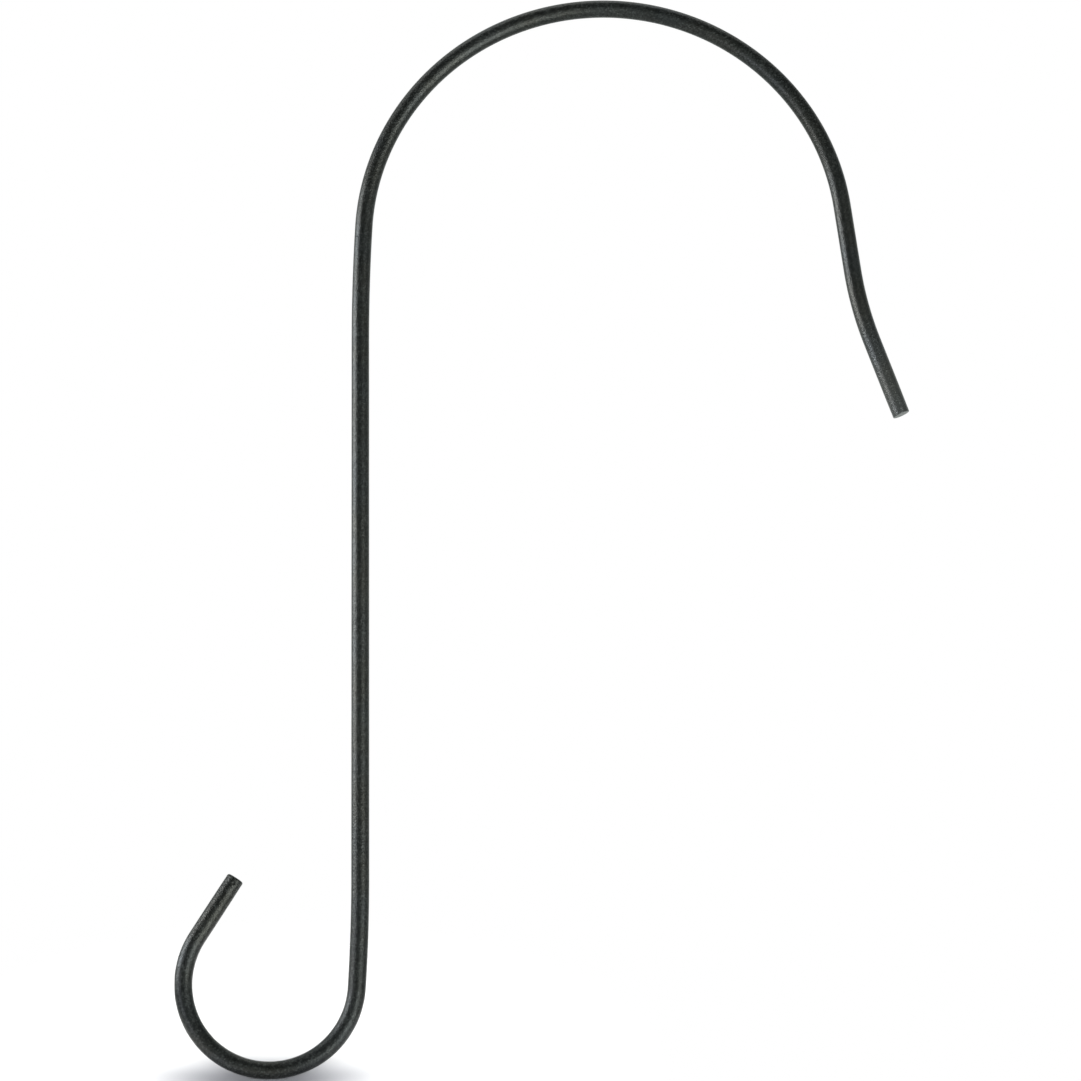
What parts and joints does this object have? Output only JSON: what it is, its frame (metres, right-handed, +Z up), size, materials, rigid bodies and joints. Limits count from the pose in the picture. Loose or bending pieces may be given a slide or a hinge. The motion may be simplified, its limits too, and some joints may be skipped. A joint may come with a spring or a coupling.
{
  "type": "bird feeder hook",
  "caption": "Bent round rod with a wide arch at the top to go over a branch, a long straight stem and a small upturned hook at its foot to carry a feeder.",
  "frame": {"origin": "inside crown of the arch: the highest point of the rod's underside, where it rests on a branch", "axes": "+Z up along the stem, as the hook hangs; +X in the plane of the hook, from the stem towards the outer leg of the arch; +Y across the hook, away from the picture's viewer"},
  "size_m": [0.2031, 0.0048, 0.3045],
  "materials": {
    "powder_coat": "black powder coat on steel rod, satin, with a fine textured skin"
  },
  "bodies": {
    "root": {"hook_rod": "powder_coat"}
  },
  "joints": []
}
